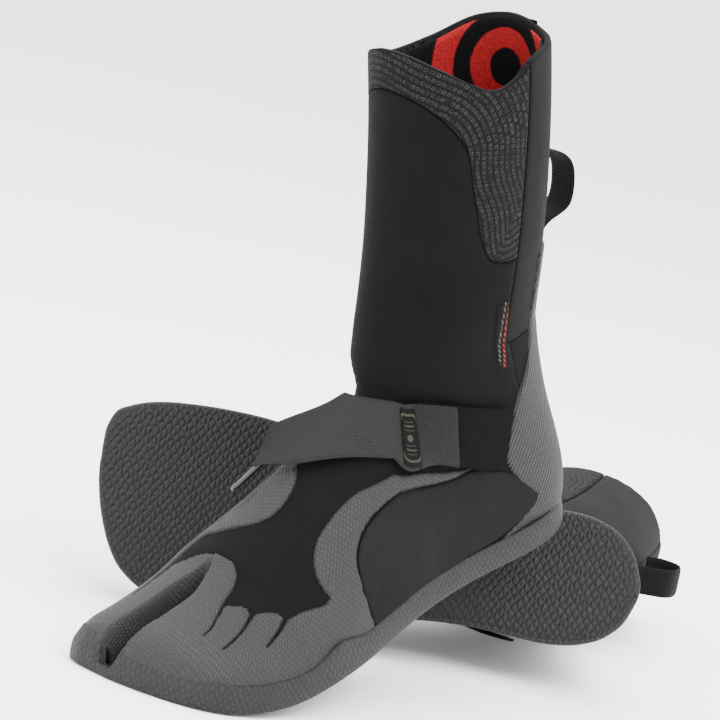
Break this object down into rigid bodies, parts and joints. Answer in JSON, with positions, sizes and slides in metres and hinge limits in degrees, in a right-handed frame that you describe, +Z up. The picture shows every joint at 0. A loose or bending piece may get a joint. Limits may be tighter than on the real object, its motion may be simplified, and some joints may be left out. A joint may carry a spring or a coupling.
{
  "type": "neoprene boots",
  "caption": "Pair of split-toe foam-rubber surf boots with instep strap and tall cuff; one stands with its heel propped on the other, which lies on its side.",
  "frame": {"origin": "centre of the pair on the floor, under the middle of the bounding box", "axes": "+Z up; +X the way the standing left boot points; +Y towards the standing boot's little toe side"},
  "size_m": [0.5112, 0.2445, 0.3439],
  "materials": {
    "neoprene_black": "matte foam rubber faced with fine knit",
    "neoprene_grey": "matte grey foam rubber faced with fine knit",
    "printed_neoprene": "dark knit face printed with pale dotted waves",
    "rubber_print": "grey rubber embossed with fine scales",
    "ribbed_rubber": "grey rubber with diagonal ribs",
    "outsole_rubber": "dark rubber with a pebbled tread",
    "lining_red": "brushed red lining with black stripes",
    "webbing": "grey twill webbing",
    "hook_and_loop": "black fuzzy pile",
    "label": "dark woven label",
    "buckle": "dark moulded plastic",
    "print_ink": "red heat transfer",
    "insole": "dark insole board"
  },
  "bodies": {
    "right_boot": {"right_outsole": "outsole_rubber", "right_rand": "outsole_rubber", "right_toe_divider": "outsole_rubber", "right_insole_board": "insole", "right_forefoot_upper": "neoprene_black", "right_ankle_upper": "neoprene_black", "right_heel_cup": "neoprene_black", "right_shaft_panel": "neoprene_black", "right_collar_panel": "printed_neoprene", "right_achilles_panel": "neoprene_grey", "right_collar_lining": "lining_red", "right_big_toe_cap": "rubber_print", "right_small_toes_cap": "rubber_print", "right_lateral_wing": "rubber_print", "right_lateral_panel": "neoprene_grey", "right_medial_petal": "rubber_print", "right_medial_panel": "neoprene_grey", "right_heel_counter": "ribbed_rubber", "right_back_seam_tape": "neoprene_black", "right_side_print": "print_ink", "right_strap_pile": "hook_and_loop", "right_ring_tab": "webbing"},
    "right_ring": {"right_ring": "buckle"},
    "right_strap": {"right_strap_web": "webbing", "right_strap_hook_end": "hook_and_loop", "right_strap_label": "label"},
    "right_loop": {"right_pull_loop": "webbing"},
    "left_boot": {"left_outsole": "outsole_rubber", "left_rand": "outsole_rubber", "left_toe_divider": "outsole_rubber", "left_insole_board": "insole", "left_forefoot_upper": "neoprene_black", "left_ankle_upper": "neoprene_black", "left_heel_cup": "neoprene_black", "left_shaft_panel": "neoprene_black", "left_collar_panel": "printed_neoprene", "left_achilles_panel": "neoprene_grey", "left_collar_lining": "lining_red", "left_big_toe_cap": "rubber_print", "left_small_toes_cap": "rubber_print", "left_lateral_wing": "rubber_print", "left_lateral_panel": "neoprene_grey", "left_medial_petal": "rubber_print", "left_medial_panel": "neoprene_grey", "left_heel_counter": "ribbed_rubber", "left_back_seam_tape": "neoprene_black", "left_side_print": "print_ink", "left_strap_pile": "hook_and_loop", "left_ring_tab": "webbing"},
    "left_ring": {"left_ring": "buckle"},
    "left_strap": {"left_strap_web": "webbing", "left_strap_hook_end": "hook_and_loop", "left_strap_label": "label"},
    "left_loop": {"left_pull_loop": "webbing"}
  },
  "joints": [
    {"name": "left_lift", "type": "slide", "parent": "right_boot", "child": "left_boot", "axis": [0, 0, 1], "range_m": [0, 0.12]},
    {"name": "left_ring_swivel", "type": "hinge", "parent": "left_boot", "child": "left_ring", "pos_m": [0.17043, 0.04399, 0.10618], "axis": [0.3797, -0.4011, -0.8336], "range_deg": [0, 35]},
    {"name": "left_strap_peel", "type": "hinge", "parent": "left_ring", "child": "left_strap", "pos_m": [0.16988, 0.04045, 0.10545], "axis": [0.3797, -0.4011, -0.8336], "range_deg": [0, 95]},
    {"name": "left_loop_flop", "type": "hinge", "parent": "left_boot", "child": "left_loop", "pos_m": [0.05248, 0.06694, 0.2754], "axis": [0.0095, 0.9997, 0.0206], "range_deg": [0, 60]},
    {"name": "right_ring_swivel", "type": "hinge", "parent": "right_boot", "child": "right_ring", "pos_m": [0.00241, -0.06407, 0.06418], "axis": [-0.8772, 0.0876, -0.4721], "range_deg": [0, 35]},
    {"name": "right_strap_peel", "type": "hinge", "parent": "right_ring", "child": "right_strap", "pos_m": [0.00261, -0.0638, 0.06784], "axis": [-0.8772, 0.0876, -0.4721], "range_deg": [0, 95]},
    {"name": "right_loop_flop", "type": "hinge", "parent": "right_boot", "child": "right_loop", "pos_m": [-0.19549, 0.00319, 0.04216], "axis": [0.0264, -0.0254, 0.9993], "range_deg": [0, 60]}
  ]
}
